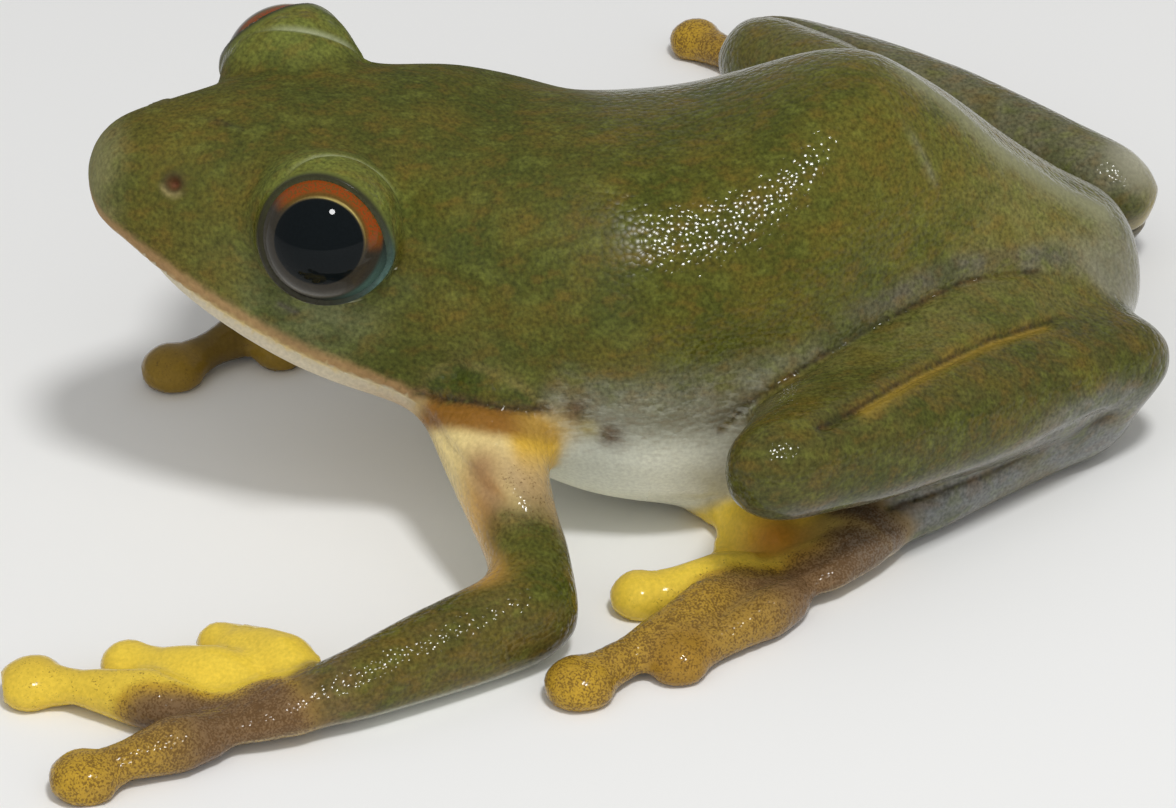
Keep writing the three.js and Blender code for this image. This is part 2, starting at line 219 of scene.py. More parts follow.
def fall(values, full, none):
    """1 up to full, 0 from none on, and an even curve between."""
    return smooth(-values, -none, -full)


def bump(values, middle, spread):
    """1 at the middle, falling away on both sides as a bell."""
    return np.exp(-(((values - middle) / spread) ** 2))


class Sheet:
    """The skin's points as arrays, with what lies round each of them."""

    def __init__(self, form):
        form.verts.index_update()
        self.form = form
        self.edges = np.array([[vert.index for vert in edge.verts] for edge in form.edges])
        self.count = np.bincount(self.edges.ravel(), minlength=len(form.verts)).astype(float)
        self.read()
        nearest = [flesh_surface.find_nearest(vert.co)[2] for vert in form.verts]
        self.node = face_node[nearest]

    def read(self):
        self.form.normal_update()
        self.points = np.array([vert.co for vert in self.form.verts])
        self.normals = np.array([vert.normal for vert in self.form.verts])

    def place(self, points):
        for vert, point in zip(self.form.verts, points):
            vert.co = point
        self.read()

    def raise_by(self, height):
        """Moves each point out of the skin by its height, in millimetres."""
        self.place(self.points + self.normals * (height * MM)[:, None])

    def gathered(self, values):
        """The sum of each point's neighbours."""
        a, b = self.edges.T
        size = len(self.points)
        columns = [
            np.bincount(a, column[b], size) + np.bincount(b, column[a], size)
            for column in values.reshape(size, -1).T
        ]
        return np.stack(columns, 1).reshape(values.shape)

    def mean(self, values):
        return (self.gathered(values).T / self.count).T

    def spread(self, values, steps):
        """Values passed on along the sheet, a point at a time."""
        for _ in range(steps):
            values = (values + self.mean(values)) / 2
        return values

    def on(self, *names, steps=6):
        """How much each point belongs to the named flesh, from 0 to 1, soft at its edge."""
        chosen = [i for i, node in enumerate(nodes) if node.startswith(names)]
        return self.spread(np.isin(self.node, chosen).astype(float), steps)

    def away(self, *names, reach=6):
        """How far each point is from the named flesh, in millimetres, up to the reach."""
        found = np.full(len(self.points), float(reach))
        for surface in (surfaces[node] for node in nodes if node.startswith(names)):
            hits = [surface.find_nearest(vert.co, reach * MM)[3] for vert in self.form.verts]
            found = np.minimum(found, [reach if hit is None else hit / MM for hit in hits])
        return found

    def fair(self, stiffness, rounds=90):
        """Moves the points to the smoothest sheet near them, by conjugate gradients."""
        weight = (stiffness**2)[:, None]

        def pull(x):
            bend = weight * (self.mean(x) - x)
            return x + self.gathered((bend.T / self.count).T) - bend

        x = self.points.copy()
        rest = self.points - pull(x)
        way = rest.copy()
        size = np.sum(rest * rest, 0)
        for _ in range(rounds):
            pulled = pull(way)
            step = size / np.maximum(np.sum(way * pulled, 0), 1e-30)
            x += step * way
            rest -= step * pulled
            last, size = size, np.sum(rest * rest, 0)
            way = rest + way * size / np.maximum(last, 1e-30)
        self.place(x)


OUTWARD = np.array(Vector((0.8, 0, 0.6)).normalized())
under_head = np.array((head_at.x, head_at.y, 0))


def on_body():
    """The skin's points in millimetres from the floor under the head: left, rear and up."""
    return (skin.points - under_head) / MM


def off_path(places, stops, view=None):
    """How far places lie from a path, how far along it from 0 to 1, and the way off it."""
    stops = [np.array(stop) for stop in stops]
    if view is not None:
        places = places - np.outer(places @ view, view)
        stops = [stop - (stop @ view) * view for stop in stops]
    nearest = np.full(len(places), 1e3)
    along = np.zeros(len(places))
    off = np.zeros((len(places), 3))
    for i, (start, end) in enumerate(zip(stops, stops[1:])):
        span = end - start
        share = np.clip((places - start) @ span / (span @ span), 0, 1)
        gap = places - start - share[:, None] * span
        far = np.linalg.norm(gap, axis=1)
        nearer = far < nearest
        along = np.where(nearer, (i + share) / (len(stops) - 1), along)
        off = np.where(nearer[:, None], gap, off)
        nearest = np.where(nearer, far, nearest)
    return nearest, along, off


def from_path(stops, view=None, places=None):
    """How far the skin's points, or other places, lie from a path."""
    return off_path(body if places is None else places, stops, view)[0]


# Where two limbs are pressed together, and between two toes, the skin dips to a fine groove. The
# folds of the left shoulder, leg and toes have a depth and a path, in millimetres from the floor
# under the head. The rest follow the middle of the joint between two pieces.
GROOVE_WIDTH = 0.24
LEFT_FOLDS = {
    "hip": (0.3, ((10.1, 14.4, 5.9), (9.6, 15.9, 6.9), (8.3, 19.0, 7.9), (6.8, 21.8, 8.4),
                  (5.0, 25.1, 8.7), (4.2, 27.1, 8.5), (3.2, 29.1, 7.8))),
    "knee": (0.34, ((14.8, 17.6, 8.4), (13.5, 19.4, 8.4), (10.9, 22.2, 8.2), (7.6, 25.8, 7.5),
                    (4.9, 29.4, 6.6))),
    "heel": (0.3, ((11.3, 20.7, 2.5), (10.4, 22.8, 2.3), (9.3, 25.2, 2.3), (8.5, 27.9, 3.0),
                   (6.2, 31.4, 2.8))),
    "outer_toe": (0.14, ((16.8, 13.2, 1.6), (15.1, 14.8, 1.8), (13.6, 17.2, 1.5), (12.5, 19.6, 2.0))),
    "middle_toe": (0.12, ((13.4, 14.5, 1.8), (11.6, 17.0, 1.6), (11.5, 19.6, 2.3))),
    "shoulder": (0.3, ((6.8, 3.0, 7.4), (7.6, 4.1, 7.4), (8.4, 5.2, 7.6), (8.9, 6.3, 7.5),
                       (8.9, 7.2, 7.3), (8.5, 8.2, 6.9))),
}
LIMB_JOINTS = (("thigh", "shank", 0.3), ("trunk", "thigh", 0.3), ("trunk", "upper_arm", 0.25),
               ("shank", "tarsus", 0.3))
FREE_STIFFNESS = 26         # how far the sheet is faired: most where nothing bends it,
JOINT_STIFFNESS = 34        # and over the joints of the left limbs, whose folds follow paths
LEAST_STIFFNESS = 0.6
WEB_STIFFNESS = 9
WEB_LEAST = 0.01

skin = Sheet(sheet)
groove = np.zeros(len(skin.points))
filled = np.zeros(len(skin.points))


def off_joint(upper, lower, side, reach):
    """How far the skin's points are from the two pieces of a joint."""
    upper = upper if upper == "trunk" else f"{upper}_{side}"
    return skin.away(upper, reach=reach), skin.away(f"{lower}_{side}", reach=reach)


for upper, lower, depth in LIMB_JOINTS:
    far_upper, far_lower = off_joint(upper, lower, "right", 2)
    held = fall(skin.spread(far_upper + far_lower, 8), 0.9, 1.9)
    middle = bump(skin.spread(far_lower - far_upper, 40), 0, GROOVE_WIDTH)
    groove = np.maximum(groove, depth * held * middle)
    far_upper, far_lower = off_joint(upper, lower, "left", 3)
    filled = np.maximum(filled, fall(far_upper + far_lower, 1.6, 2.6))
calm = skin.spread(skin.points, 4)
hollow = np.sum((skin.mean(calm) - calm) * skin.normals, 1) / SHEET_GRAIN
hollow = skin.spread(hollow, 3)
digits = skin.on("finger", "toe", steps=4)
feet = skin.on("hand", "foot", steps=4)
stiffness = FREE_STIFFNESS * (1 - smooth(hollow, 0.02, 0.06))
stiffness = stiffness * (1 - 0.97 * digits) * (1 - 0.85 * feet)
stiffness = np.maximum(stiffness, JOINT_STIFFNESS * skin.spread(filled, 3))
stiffness *= 1 - 0.7 * skin.spread(smooth(groove, 0.05, 0.2), 3)
skin.fair(stiffness + LEAST_STIFFNESS)

# The webs between the toes are full: their hollows are filled, and nothing is drawn in.
webs = skin.on("foot", "toe", steps=4)
before = skin.points.copy()
normals = skin.normals.copy()
skin.fair(WEB_STIFFNESS * webs + WEB_LEAST)
raised = np.maximum(np.sum((skin.points - before) * normals, 1), 0) * webs
skin.place(before + normals * raised[:, None])


def along_fold(amount, stops, width, facing, taper):
    """An amount along a fold, on skin that faces outward, fading to its sides and its ends."""
    beside, along, _ = off_path(body, stops, OUTWARD)
    close = fall(from_path(stops), 1.2, 2.2) * smooth(skin.normals @ OUTWARD, *facing)
    ends = smooth(along, 0, taper) * fall(along, 1 - taper, 1)
    return amount * close * ends * bump(beside, 0, width)


body = on_body()
for depth, stops in LEFT_FOLDS.values():
    groove = np.maximum(groove, along_fold(depth, stops, GROOVE_WIDTH, (0.1, 0.4), 0.08))

# The sheet is finer in the folds and round the eyes and nostrils, and the grooves are cut in it.
NOSTRIL = Vector((2.83, -5.63, -0.54)) * MM
FINE_GROOVES = (0.06, 0.13)             # where a groove is this deep its edges are halved, and again
FINE_EYES = (3.9 * MM, 3.2 * MM)        # and as far as this round the eyes
FINE_NOSTRIL = 0.9 * MM
head_axes = Matrix((head_left, head_back, head_up)).transposed()
kept = sheet.verts.layers.float.new("groove")
for vert, depth in zip(sheet.verts, groove):
    vert[kept] = depth


def halve_edges(chosen):
    """Halves the sheet's edges whose two points are both chosen."""
    edges = [edge for edge in sheet.edges if all(chosen(vert) for vert in edge.verts)]
    bmesh.ops.subdivide_edges(sheet, edges=edges, cuts=1, use_grid_fill=True)


for least in FINE_GROOVES:
    halve_edges(lambda vert: vert[kept] > least)
for side in SIDES:
    for reach in FINE_EYES:
        halve_edges(lambda vert: (vert.co - eyeball_at[side]).length < reach)
for turn in (-1, 1):
    nostril_at = head_at + head_axes @ Vector((NOSTRIL.x * turn, NOSTRIL.y, NOSTRIL.z))
    halve_edges(lambda vert: (vert.co - nostril_at).length < FINE_NOSTRIL)
skin = Sheet(sheet)
groove = np.array([vert[kept] for vert in sheet.verts])
skin.raise_by(-groove)

# The pads at the ends of the digits spread where they press on the ground.
PAD_SPREAD = 0.16           # how far a pad's sides swell, how much all of it does, and the digits
PAD_SWELL = 0.05
DIGIT_SWELL = 0.1
PAD_LONG = 1.7              # a pad's length back from the tip of its digit, and its reach
PAD_REACH = 1.25
pads = np.zeros(len(skin.points))
for node in nodes:
    if node.startswith(("finger", "toe")):
        foot = ("hand_" if node.startswith("finger") else "foot_") + node.split("_")[-1]
        spots = np.array([vert.co for vert in shells[node].verts])
        far = np.linalg.norm(spots - np.array(middle_of(foot)), axis=1)
        tip = spots[far > far.max() - PAD_LONG * MM].mean(0)
        pads = np.maximum(pads, bump(np.linalg.norm(skin.points - tip, axis=1) / MM, 0, PAD_REACH))
level = np.clip(1 - np.abs(skin.normals[:, 2]), 0, 1)
digits = skin.on("finger", "toe", steps=3)
skin.raise_by(PAD_SPREAD * pads * level + PAD_SWELL * pads + DIGIT_SWELL * digits)


# ---- Skin: the face ----
# Lids, nostrils, lips, eardrums and the folds behind the eyes stand up from the sheet or are
# pressed into it, alike on both sides, as they would be modelled in clay. Lengths are millimetres.
EYE_SPAN = (eyeball_at["left"] - eyeball_at["right"]).length / 2 / MM
EYE_SIZE = eyeball_radius / MM
LID_FACING = np.array(Vector((0.897, -0.264, 0.193)).normalized())
LID_OPEN = 67               # degrees from the middle of the opening to the lids' edge
LID_OVAL = 6                # and how much more along the opening's long way than across it
LID_OVAL_TURN = 45
LID_THICK = 0.2
CORNER_TURN = -160          # where the lids meet in a point, behind and below the eye
CORNER_REACH = 8
CORNER_SPREAD = 20
UNDER_LIDS = 0.86           # the skin behind the eyeball, as a share of the ball
MOUTH = ((-8.6, -5.2, 0, 4.6, 8.4), (-3.6, -4.4, -5.5, -6.4, -6.4))
EARDRUM = np.array((7.66, 5.15, -2.07))
EARDRUM_SIZE = 1.15
LID_CREASE = np.array(((5.6, -2.65, 1.5), (4.35, 0, 2.95), (5.75, 3.35, 0.5)))
EAR_FOLD = ((6.1, 3.36, -0.2), (6.6, 5.3, -0.17), (7.66, 6.65, -0.37), (8.2, 7.3, -1.0),
            (8.5, 7.9, -2.6))
CREASE_DEEP = 0.14          # how deep the creases and hollows are, and how high the rims
NOSTRIL_DEEP = 0.42
NOSTRIL_RIM = 0.1
LIPS_DEEP = 0.16
LIP_HIGH = 0.06
EAR_RIM_DEEP = 0.09
EAR_HIGH = 0.04
EAR_FOLD_HIGH = 0.16
HIP_HIGH = 0.07
TAIL_HIGH = 0.14
FLOOR_GAP = 0.01            # the skin stays inside the solids' outer box by this much


def turned_from(turn, middle):
    """Degrees past a middle direction, from -180 to 180."""
    return (turn - middle + 180) % 360 - 180


def lid_view(face):
    """Distance from the eye, angle from the middle of the lids, turn round it, and lids' edge."""
    out = face - np.array((EYE_SPAN, 0, 0))
    reach = np.linalg.norm(out, axis=1)
    angle = np.degrees(np.arccos(np.clip(out @ LID_FACING / reach, -1, 1)))
    ahead = np.array((0, -1, 0)) + LID_FACING * LID_FACING[1]
    ahead = ahead / np.linalg.norm(ahead)
    turn = np.degrees(np.arctan2(out @ np.cross(ahead, LID_FACING), out @ ahead))
    edge = LID_OPEN + LID_OVAL * np.cos(np.radians(2 * (turn - LID_OVAL_TURN)))
    edge = edge + CORNER_REACH * bump(turned_from(turn, CORNER_TURN), 0, CORNER_SPREAD)
    return reach, angle, turn, edge


to_head = np.array(head_axes)
centre = np.array(head_at)


def on_face():
    """The skin's points in the head's axes, the right side laid over the left."""
    face = (skin.points - centre) @ to_head / MM
    turned = np.where(face[:, 0] < 0, -1.0, 1.0)
    face[:, 0] = np.abs(face[:, 0])
    return face, turned


face, turned = on_face()
reach, angle, turn, edge = lid_view(face)
near_eye = fall(reach, 4.0, 4.6)
lid = (1 - smooth(angle, edge + 4, edge + 20)) * near_eye
inside = smooth(edge - angle, 0, 3) * near_eye
radius = reach + (EYE_SIZE + LID_THICK - reach) * lid
radius += (UNDER_LIDS * EYE_SIZE - radius) * inside
moved = face - np.array((EYE_SPAN, 0, 0))
moved *= (radius / reach)[:, None]
moved[:, 0] = (moved[:, 0] + EYE_SPAN) * turned
skin.place(centre + moved @ to_head.T * MM)

face, turned = on_face()
on_head = 1 - smooth(face[:, 1], 8, 11)
crease_across = np.cross(LID_CREASE[0] - LID_CREASE[1], LID_CREASE[2] - LID_CREASE[1])
crease_across = crease_across / np.linalg.norm(crease_across)
crease = bump((face - LID_CREASE[1]) @ crease_across, 0, 0.13)
crease *= smooth(reach, 2.9, 3.05) * (1 - smooth(reach, 3.9, 4.4)) * smooth(face[:, 2], 0.2, 0.9)
nostril = np.linalg.norm(face - np.array(NOSTRIL) / MM, axis=1)
over_mouth = face[:, 2] - np.interp(face[:, 1], *MOUTH)
past_snout = smooth(face[:, 1], -7.4, -5.8)
lips = bump(over_mouth, 0, 0.16) * on_head * past_snout
upper_lip = LIP_HIGH * bump(over_mouth, 0.42, 0.28) * on_head * past_snout
ear = np.linalg.norm(face - EARDRUM, axis=1)
height = -CREASE_DEEP * crease
height += -NOSTRIL_DEEP * bump(nostril, 0, 0.2) + NOSTRIL_RIM * bump(nostril, 0.42, 0.16)
height += -LIPS_DEEP * lips + upper_lip
height += -EAR_RIM_DEEP * bump(ear, EARDRUM_SIZE, 0.16) + EAR_HIGH * bump(ear, 0, 0.8)
height += EAR_FOLD_HIGH * bump(from_path(EAR_FOLD, places=face), 0, 0.38)
skin.raise_by(height)

# The hip bones and the end of the backbone show as low ridges.
HIP_RIDGE = ((2.9, 22.9, 15.2), (3.3, 23.6, 14.4), (4.0, 24.3, 12.9))
TAIL_RIDGE = ((0.2, 24.0, 15.6), (0.5, 25.3, 14.5), (0.8, 27.6, 12.2), (0.4, 30, 10.2), (0.1, 31.8, 8.7))
body = on_body()
hip_ridge = from_path(HIP_RIDGE)
tail_ridge = from_path(TAIL_RIDGE)
skin.raise_by(HIP_HIGH * bump(hip_ridge, 0, 0.4) + TAIL_HIGH * bump(tail_ridge, 0, 0.5))

# Nothing goes below the floor, or past what the solids reach.
low, high = (np.array(corner) for corner in solid_box)
skin.place(np.clip(skin.points, low + FLOOR_GAP * MM, high - FLOOR_GAP * MM))


# ---- Skin: its colours ----
# Olive above and white below, with yellow hands and feet under brown freckles. Each colour is laid
# over the ones before it, softly, where that part of the frog has it.
OLIVE = (0.072, 0.073, 0.01)
MOSS = (0.05, 0.062, 0.009)
BRONZE = (0.115, 0.092, 0.013)
SAGE = (0.13, 0.15, 0.055)
LEAF = (0.15, 0.17, 0.03)
CREAM = (0.78, 0.62, 0.27)
PEARL = (0.7, 0.72, 0.61)
ASH = (0.25, 0.245, 0.18)
SLATE = (0.15, 0.14, 0.12)
AMBER = (0.66, 0.4, 0.035)
LEMON = (0.78, 0.56, 0.06)
RUST = (0.24, 0.11, 0.02)
CLAY = (0.4, 0.24, 0.11)
UMBER = (0.16, 0.095, 0.04)
SOOT = (0.02, 0.018, 0.014)
FOLD_THREAD_AND_SHADE = (0.028, 0.02, 0.01)
TEAL = (0.08, 0.15, 0.13)

face, turned = on_face()
body = on_body()
reach, angle, turn, edge = lid_view(face)
upward = skin.normals[:, 2]
ahead = -skin.normals[:, 1]
tint = np.tile(np.array(OLIVE), (len(body), 1))
speckle = np.zeros(len(body))


def laid(under, colour, amount):
    """Colours with another laid over them, by the amount from 0 to 1 at each point."""
    return under + np.clip(amount, 0, 1)[:, None] * (np.array(colour) - under)


def paint(colour, amount):
    """Lays a colour over the skin, by the amount from 0 to 1 at each point."""
    global tint
    tint = laid(tint, colour, amount)


def freckle(density, amount):
    """Sets how many freckles there are, where the amount is 1."""
    global speckle
    speckle = speckle + np.clip(amount, 0, 1) * (density - speckle)


def near(place, size, places=None):
    """1 at a place, fading out round it."""
    return bump(np.linalg.norm((body if places is None else places) - np.array(place), axis=1), 0, size)


# Head: bronze green toward the snout, sage on the cheeks, leaf green lids.
CHEEK = (0.19, 0.21, 0.1)
SNOUT = (0.24, 0.23, 0.1)
JAW_CORNER = (0.12, 0.12, 0.03)
LID_LINE = (0.32, 0.34, 0.2)
CHEEK_FRONT_AT = (6.2, -1.5, -3.6)
CHEEK_AT = (7.2, 0.8, -3.2)
TEMPLE_AT = (7.0, 4.6, 0.3)
NECK_AT = (8.2, 9.0, -1.0)
JAW_CORNER_AT = (8.0, 7.0, -4.0)
head = skin.on("head", "tympanum", "lower_jaw")
trunk = skin.on("trunk")
paint(BRONZE, 0.45 * head * smooth(-face[:, 1], 0, 6))
paint(SAGE, 0.8 * head * near(CHEEK_FRONT_AT, 2.6, face))
paint(CHEEK, 0.7 * head * near(CHEEK_AT, 1.6, face))
paint(SNOUT, 0.75 * head * smooth(-face[:, 1], 6.9, 8.3))
paint(MOSS, 0.6 * near(TEMPLE_AT, 1.6, face))
paint(BRONZE, 0.5 * near(EARDRUM, 1.3, face))
paint(MOSS, 0.35 * near(NECK_AT, 3.4, face))
paint(JAW_CORNER, 0.6 * near(JAW_CORNER_AT, 2.0, face))
paint(LEAF, 0.8 * (fall(reach, 3.1, 3.7) * smooth(face[:, 2], 0, 1.6)))
paint(LID_LINE, 0.9 * crease * smooth(face[:, 1], -2.5, 0) * (1 - smooth(face[:, 1], 1.7, 2.7)))

# Lips: a cream line over the mouth that turns ochre to the rear, and a white jaw and throat.
JAW_ROSE = (0.6, 0.48, 0.32)
SCRATCH = (0.1, 0.07, 0.09)
SNOUT_DASH = ((0.45, -4.35, 1.1), (1.3, -3.3, 1.4))
CHEEK_SCRATCH = ((6.1, -1.15, -3.4), (6.4, -0.5, -3.5))
jaw = head * smooth(-over_mouth, -0.12, 0.12) * fall(face[:, 1], 8, 10)
lip_edge = 0.68 + 0.15 * smooth(-face[:, 1], 2, 7)
lip = head * smooth(-over_mouth, -lip_edge - 0.3, -lip_edge + 0.1) * smooth(-face[:, 1], -7.6, -6)
paint(CLAY, 0.8 * lip)
paint(CREAM, 0.75 * lip * smooth(-over_mouth, -0.4, -0.15))
paint(PEARL, np.maximum(jaw, head * smooth(-upward, 0.45, 0.75)))
paint(JAW_ROSE, 0.65 * jaw)
paint(CLAY, 0.5 * jaw * smooth(face[:, 1], 1, 5) * bump(over_mouth, -0.5, 0.4))
on_left = np.clip(turned, 0, 1)
paint(SOOT, 0.7 * on_left * bump(from_path(SNOUT_DASH, places=face), 0, 0.13))
paint(SCRATCH, 0.8 * on_left * bump(from_path(CHEEK_SCRATCH, places=face), 0, 0.13))

# Trunk: bronze on the hump and rump, an ashen flank, a white belly with yellow at its edge.
RUMP = (0.135, 0.12, 0.02)
VENT = (0.2, 0.185, 0.06)
CHALK = (0.82, 0.84, 0.72)
FLANK = (0.2, 0.19, 0.13)
STRAW = (0.62, 0.58, 0.36)
ARMPIT = (0.5, 0.56, 0.52)
FLANK_SPOT = (0.08, 0.045, 0.025)
SPOT_EDGE = (0.35, 0.29, 0.08)
PALE_RIDGE_AND_SHEEN = (0.3, 0.3, 0.19)
VENT_AT = (2.9, 28.4, 9.6)
ARMPIT_AT = (9.0, 9.5, 4.6)
ARMPIT_AMBER_AT = (8.4, 8.5, 6.2)
UPPER_SPOT_AT = (9.04, 9.16, 7.0)
LOWER_SPOT_AT = (9.3, 10.45, 5.9)
SPOT_EDGE_AT = (9.2, 9.6, 6.2)
flank_low = 1 - smooth(body[:, 2], 6.2, 9.6)
belly = 1 - smooth(body[:, 2], 4.4, 6.6)
paint(RUMP, 0.55 * trunk * smooth(body[:, 1], 16, 23))
paint(VENT, 0.65 * trunk * near(VENT_AT, 3.8))
paint(ASH, 0.85 * trunk * flank_low)
facing_down = smooth(-upward - 0.3 * smooth(body[:, 1], 24, 27), 0.3, 0.6)
paint(CHALK, trunk * np.maximum(belly, facing_down))
paint(FLANK, 0.85 * trunk * flank_low * smooth(body[:, 1], 12, 17))
paint(STRAW, 0.35 * trunk * smooth(-upward, 0.5, 0.9))
paint(ARMPIT, 0.5 * trunk * near(ARMPIT_AT, 2.0))
paint(FLANK_SPOT, 0.9 * near(UPPER_SPOT_AT, 0.62) + 0.95 * near(LOWER_SPOT_AT, 0.55))
paint(SPOT_EDGE, 0.8 * trunk * near(SPOT_EDGE_AT, 0.4))
paint(AMBER, 0.8 * trunk * near(ARMPIT_AMBER_AT, 0.7))
# Pale lines on the backbone and hip ridges: partly paler skin, partly painted sheen where the back turns
# away.
paint(PALE_RIDGE_AND_SHEEN, 0.65 * bump(tail_ridge, 0, 0.85))
paint(ASH, 0.35 * bump(hip_ridge, 0, 0.2))

# Legs: olive on top, bronze at knee and heel, paler below, a slate strip along the tarsus.
SHANK = (0.075, 0.065, 0.022)
THIGH = (0.14, 0.13, 0.042)
KNEE_RIM = (0.3, 0.27, 0.2)
FAR_HEEL = (0.6, 0.58, 0.45)
FAR_HEEL_UNDER = (0.6, 0.45, 0.06)
FAR_HEEL_AT = (-10.9, 35.2, 4.4)
FAR_HEEL_UNDER_AT = (-10.6, 35.6, 2.8)
thigh = skin.on("thigh")
shank = skin.on("shank")
tarsus = skin.on("tarsus")
paint(BRONZE, 0.35 * thigh)
paint(SHANK, 0.55 * shank)
paint(THIGH, 0.55 * thigh)
paint(BRONZE, 0.4 * shank * fall(skin.away("tarsus", reach=5), 0, 2))
paint(SLATE, 0.75 * (thigh + shank) * smooth(-upward, 0.1, 0.7))
knee_rim = skin.on("thigh_left", "shank_left") * smooth(-body[:, 1], -8.2, -6.6)
paint(KNEE_RIM, 0.5 * knee_rim * smooth(-upward, -0.1, 0.35))
paint(ASH, 0.3 * skin.on("shank_right") * smooth(upward, 0, 0.6))
paint(FAR_HEEL, 0.85 * near(FAR_HEEL_AT, 1.25))
paint(FAR_HEEL_UNDER, 0.8 * near(FAR_HEEL_UNDER_AT, 1.1))
paint(SLATE, 0.85 * tarsus)
paint(CLAY, 0.35 * tarsus * smooth(upward, 0.2, 0.8))

# Arms: the shoulder's olive skin hangs over the arm in a fold. Under it the arm is rust, then cream
# in front and amber behind, with a clay streak that turns olive down to the elbow.
STREAK = ((10.9, 5.2, 6.0), (12.2, 5.4, 5.2), (13.4, 5.6, 4.5), (14.6, 5.9, 4.1))
ELBOW_GREEN = ((13.2, 6.4, 4.8), (14.3, 6.6, 4.4), (15.6, 6.9, 3.7))
BEIGE = (0.55, 0.4, 0.22)
APRICOT = (0.75, 0.44, 0.1)
STREAK_BROWN = (0.26, 0.13, 0.06)
FAWN = (0.22, 0.15, 0.07)
ELBOW_AMBER = (0.64, 0.36, 0.08)
ELBOW_AMBER_AT = (15.0, 4.5, 3.6)
FOLD_OCHRE = (0.45, 0.29, 0.06)
shoulder_fold = LEFT_FOLDS["shoulder"][1]
UPRIGHT = np.array(Vector((-0.5, 0.1, 0.86)).normalized())
forearm = skin.on("forearm")
upper_arm = skin.on("upper_arm")
from_elbow = skin.away("forearm", reach=9)
paint(UMBER, 0.3 * forearm)
paint(CREAM, upper_arm)
paint(AMBER, upper_arm * smooth(-ahead, 0.05, 0.4))
for side in SIDES:
    here = skin.on(f"upper_arm_{side}")
    paint(BEIGE, 0.8 * here * (1 - smooth(from_elbow, 3.2, 5.4)) * smooth(-ahead, -0.2, 0.2))
paint(APRICOT, 0.8 * upper_arm * smooth(ahead, 0.35, 0.7) * (1 - smooth(from_elbow, 2.5, 5)))
paint(STREAK_BROWN, 0.85 * bump(from_path(STREAK), 0, 1.05))
paint(FAWN, 0.55 * upper_arm * (1 - smooth(from_elbow, 2.2, 4.8)) * smooth(-ahead, -0.3, 0.1))
by_elbow = upper_arm * (1 - smooth(from_elbow, 3, 5)) * smooth(from_elbow, 0.6, 1.6)
freckle(0.26, by_elbow * smooth(-ahead, -0.4, 0))
paint(OLIVE, 0.95 * fall(from_path(ELBOW_GREEN), 0.7, 2.3) * fall(from_elbow, 1.0, 3.4))
paint(OLIVE, upper_arm * (1 - smooth(from_elbow, 0.3, 2.1)) * smooth(-ahead, -0.5, -0.1))
paint(ELBOW_AMBER, 0.9 * near(ELBOW_AMBER_AT, 1.0))
beside, _, off = off_path(body, shoulder_fold, OUTWARD)
over_fold = off @ UPRIGHT
by_shoulder = fall(from_path(shoulder_fold), 2.4, 3.4)
fold_rear = smooth(body[:, 1], 6.2, 7.6)
paint(RUST, by_shoulder * upper_arm * smooth(over_fold, -1.5, -0.9))
paint(FOLD_OCHRE, 0.6 * by_shoulder * upper_arm * smooth(over_fold, -1.7, -1.1) * fold_rear)
paint(MOSS, by_shoulder * smooth(upper_arm, 0, 0.3) * smooth(over_fold, -0.1, 0.15))
# A dark line along the shoulder fold: painted shadow where the fold hangs over the arm.
paint(UMBER, 0.8 * by_shoulder * bump(beside, 0, 0.16))
paint(PEARL, 0.7 * (forearm + upper_arm) * smooth(-upward, 0.5, 0.8))

# Fold lines: a dark thread in each, of darker skin and painted shade in the fold, and an ochre strip
# beside the one from knee to vent.
STRIP_PATH = ((13.4, 19.9, 8.3), (11.2, 22.1, 8.1), (9.3, 24.0, 7.8), (7.6, 26.0, 7.4),
              (6.0, 28.2, 6.9))
STRIP = (0.3, 0.2, 0.03)
HIP_SHADE = (0.11, 0.1, 0.085)
HEEL_OVER = (0.2, 0.2, 0.18)
HEEL_UNDER = (0.19, 0.2, 0.2)
SEAM_LINE = 0.13
strip = bump(from_path(STRIP_PATH, OUTWARD), 0, 0.32)
paint(STRIP, 0.95 * (thigh + shank) * strip * smooth(upward, 0.1, 0.4))
hip_gap, hip_along, hip_off = off_path(body, LEFT_FOLDS["hip"][1], OUTWARD)
over_hip = 0.75 * trunk * bump(hip_off @ UPRIGHT, 0.65, 0.55)
paint(HIP_SHADE, over_hip * bump(hip_gap, 0.6, 0.7) * smooth(hip_along, 0.3, 0.55))
_, _, heel_off = off_path(body, LEFT_FOLDS["heel"][1], OUTWARD)
over_heel = heel_off @ UPRIGHT
by_heel = (shank + tarsus) * fall(from_path(LEFT_FOLDS["heel"][1]), 2, 3)
paint(HEEL_OVER, 0.75 * by_heel * bump(over_heel, 0.45, 0.5))
paint(HEEL_UNDER, 0.75 * by_heel * bump(over_heel, -0.6, 0.55))
for depth, stops in LEFT_FOLDS.values():
    paint(FOLD_THREAD_AND_SHADE, along_fold(min(0.9, 3 * depth), stops, SEAM_LINE, (0, 0.3), 0.06))
# On the far side the grooves between the limbs are darkened as painted shade.
paint(FOLD_THREAD_AND_SHADE, 0.9 * smooth(groove, 0.1, 0.26) * smooth(-body[:, 0], 0, 1))

# Hands and feet: brown on the outer side and at the wrist and ankle, lemon on the inner side.
OCHRE = (0.46, 0.28, 0.03)
SEPIA = (0.19, 0.115, 0.055)
FIFTH_TOE = (0.28, 0.14, 0.02)
ORANGE_WEB_AND_SHADOW = (0.4, 0.13, 0.015)
ORANGE_WEB_AND_SHADOW_AT = (11.0, 16.6, 1.4)
SHADED_FAR_FINGER = (0.2, 0.12, 0.02)
SHADED_FAR_FINGER_BASE = (0.1, 0.065, 0.015)
